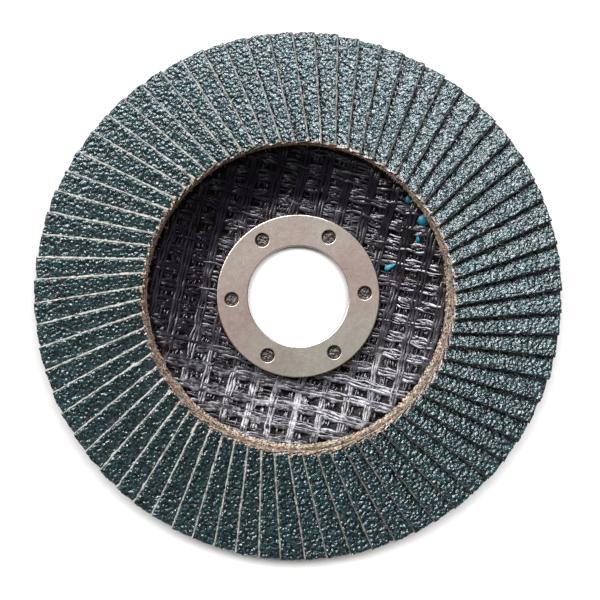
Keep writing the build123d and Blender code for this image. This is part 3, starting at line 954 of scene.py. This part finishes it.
def tufts():
    """Two loose tufts of cloth thread that lean out over the recess."""
    rng = np.random.RandomState(277)
    roots, dirs, lens, rads = [], [], [], []
    for (x, y, z, lx, ly), many in (((31.9, 10.0, 10.2, -0.9, -0.2), 26), ((33.0, 3.6, 10.4, -1.0, -0.1), 20)):
        for _ in range(many):
            roots.append([x + rng.normal(0, 0.18), y + rng.normal(0, 0.3), z + rng.normal(0, 0.3)])
            dirs.append([lx + rng.normal(0, 0.35), ly + rng.normal(0, 0.35), rng.uniform(-0.4, 0.3)])
            lens.append(rng.uniform(0.9, 2.0))
            rads.append(rng.uniform(0.04, 0.07))
    return fibre_set("loose_tufts", np.array(roots), np.array(dirs), np.array(lens), np.array(rads), 278)


wall_fibres(), edge_fibres(), tufts()


# ---------------------------------------------------------------- teal specks
def specks():
    """Specks of dried teal coating on the plate and at the foot of the flaps."""
    pts, quads, tris = [], [], []
    count = 0
    nr, na = 7, 16
    for x0, y0, lx, ly, turn, up in ((27.35, 16.7, 1.35, 1.1, 80, 0.75), (26.3, 12.4, 0.75, 0.5, 95, 0.6),
                                     (20.4, 6.5, 1.35, 0.62, 28, 0.6), (24.1, 21.2, 0.75, 0.6, 100, 0.4)):
        ct, st = math.cos(math.radians(turn)), math.sin(math.radians(turn))
        t = np.linspace(0, 2 * math.pi, na, endpoint=False)
        rows = []
        for i in range(nr + 1):
            f = math.sin(0.5 * math.pi * i / nr)
            wob = 1 + 0.25 * noise2(t * 1.3 + x0, i * 0.4, 81)
            px, py = lx * f * wob * np.cos(t), ly * f * wob * np.sin(t) * (1 - 0.35 * np.cos(t))
            x, y = x0 + px * ct - py * st, y0 + px * st + py * ct
            z = front_z(np.hypot(x, y)) - 0.25 + up * math.cos(0.5 * math.pi * i / nr) + 0.06 * noise2(x / 0.3, y / 0.3, 82)
            rows.append(np.stack([x, y, z], axis=1))
        rows[0][:] = rows[0].mean(axis=0)
        p = np.concatenate(rows)
        i, j = np.meshgrid(np.arange(1, nr), np.arange(na), indexing="ij")
        j2 = (j + 1) % na
        quads.append(np.stack([i * na + j, (i + 1) * na + j, (i + 1) * na + j2, i * na + j2], axis=-1).reshape(-1, 4) + count)
        j = np.arange(na)
        tris.append(np.stack([np.zeros(na, int), na + j, na + (j + 1) % na], axis=1) + count)
        tris.append(np.stack([np.full(na - 2, nr * na), nr * na + np.arange(2, na), nr * na + np.arange(1, na - 1)], axis=1) + count)
        pts.append(p)
        count += len(p)
    ob = make_mesh("teal_specks", np.concatenate(pts), quads=np.concatenate(quads), tris=np.concatenate(tris), mats=(SPECK,))
    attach(ob, "root")
    return ob


specks()

# ---------------------------------------------------------------- steel ring, the CAD node itself
ring = frame["nodes"]["centre_ring"]
for slot in ring.material_slots:
    slot.material = STEEL
if not ring.material_slots:
    ring.data.materials.append(STEEL)

# ---------------------------------------------------------------- floor, light, camera
floor_mat = Mat("studio_floor", Roughness=0.9)
floor_mat.set(Base_Color=floor_mat.ramp(floor_mat.noise(floor_mat.coords(), 3.0, 2.0), [(0.3, (0.93, 0.93, 0.935)), (0.7, (0.95, 0.95, 0.95))]))
floor = make_mesh("floor", np.array([[-2500, -2500, -0.02], [2500, -2500, -0.02], [2500, 2500, -0.02], [-2500, 2500, -0.02]], float),
                  quads=[[0, 1, 2, 3]], mats=(floor_mat.m,))

# a dim room with a pale ceiling panel above the disc
world = bpy.data.worlds.new("studio")
bpy.context.scene.world = world
world.use_nodes = True
wt = world.node_tree
toward = wt.nodes.new("ShaderNodeVectorMath")
toward.operation = "DOT_PRODUCT"
wt.links.new(wt.nodes.new("ShaderNodeTexCoord").outputs["Generated"], toward.inputs[0])
toward.inputs[1].default_value = (-0.05, 0.11, 0.993)
sky = wt.nodes.new("ShaderNodeValToRGB")
shift = wt.nodes.new("ShaderNodeMapRange")
shift.inputs["From Min"].default_value, shift.inputs["From Max"].default_value = -1.0, 1.0
wt.links.new(toward.outputs["Value"], shift.inputs["Value"])
wt.links.new(shift.outputs[0], sky.inputs["Fac"])
stops = [(0.0, 0.06), (0.5, 0.06), (0.8, 0.08), (0.92, 0.17), (0.965, 0.54), (1.0, 0.62)]
ramp = sky.color_ramp.elements
while len(ramp) < len(stops):
    ramp.new(0.5)
for el, (at, level) in zip(ramp, stops):
    el.position, el.color = at, (level, level * 0.985, level * 0.965, 1)
wt.links.new(sky.outputs["Color"], wt.nodes["Background"].inputs["Color"])
wt.nodes["Background"].inputs["Strength"].default_value = 1.0


def area(name, clock, elevation, distance, size_x, size_y, power, colour=(1, 1, 1)):
    """A soft light, placed by its clock angle seen from above, that faces the disc."""
    a, e = math.radians(clock), math.radians(elevation)
    at = Vector((math.sin(a) * math.cos(e), math.cos(a) * math.cos(e), math.sin(e))) * distance
    light = bpy.data.lights.new(name, "AREA")
    light.shape, light.size, light.size_y, light.energy, light.color = "RECTANGLE", size_x, size_y, power, colour
    ob = bpy.data.objects.new(name, light)
    ob.location = at
    ob.rotation_euler = (-at).to_track_quat("-Z", "Y").to_euler()
    bpy.context.scene.collection.objects.link(ob)
    return ob


key = area("key", 338, 42, 0.6, 0.95, 0.24, 10.9)
wash = area("floor_wash", 4, 77.6, 3.07, 2.4, 0.66, 124.0)
# the wash lights the floor and the key lights the disc
only_floor = bpy.data.collections.new("floor_only")
only_floor.objects.link(floor)
wash.light_linking.receiver_collection = only_floor
only_disc = bpy.data.collections.new("disc_only")
for ob in bpy.data.objects:
    if ob.type == "MESH" and ob != floor:
        only_disc.objects.link(ob)
key.light_linking.receiver_collection = only_disc

cam_data = bpy.data.cameras.new("camera")
cam = bpy.data.objects.new("camera", cam_data)
bpy.context.scene.collection.objects.link(cam)
PX_PER_MM, TOP_Z, AWAY = 4.63, 13.0, 450.0
cam.location = (0.40 * MM, -0.85 * MM, (TOP_Z + AWAY) * MM)
cam.rotation_euler = (0, 0, 0)
cam_data.sensor_width = 36.0
cam_data.lens = 36.0 * AWAY / (600 / PX_PER_MM)
cam_data.clip_start, cam_data.clip_end = 0.01, 20
bpy.context.scene.camera = cam

bpy.context.scene.view_settings.view_transform = "Standard"
bpy.context.scene.view_settings.look = "None"
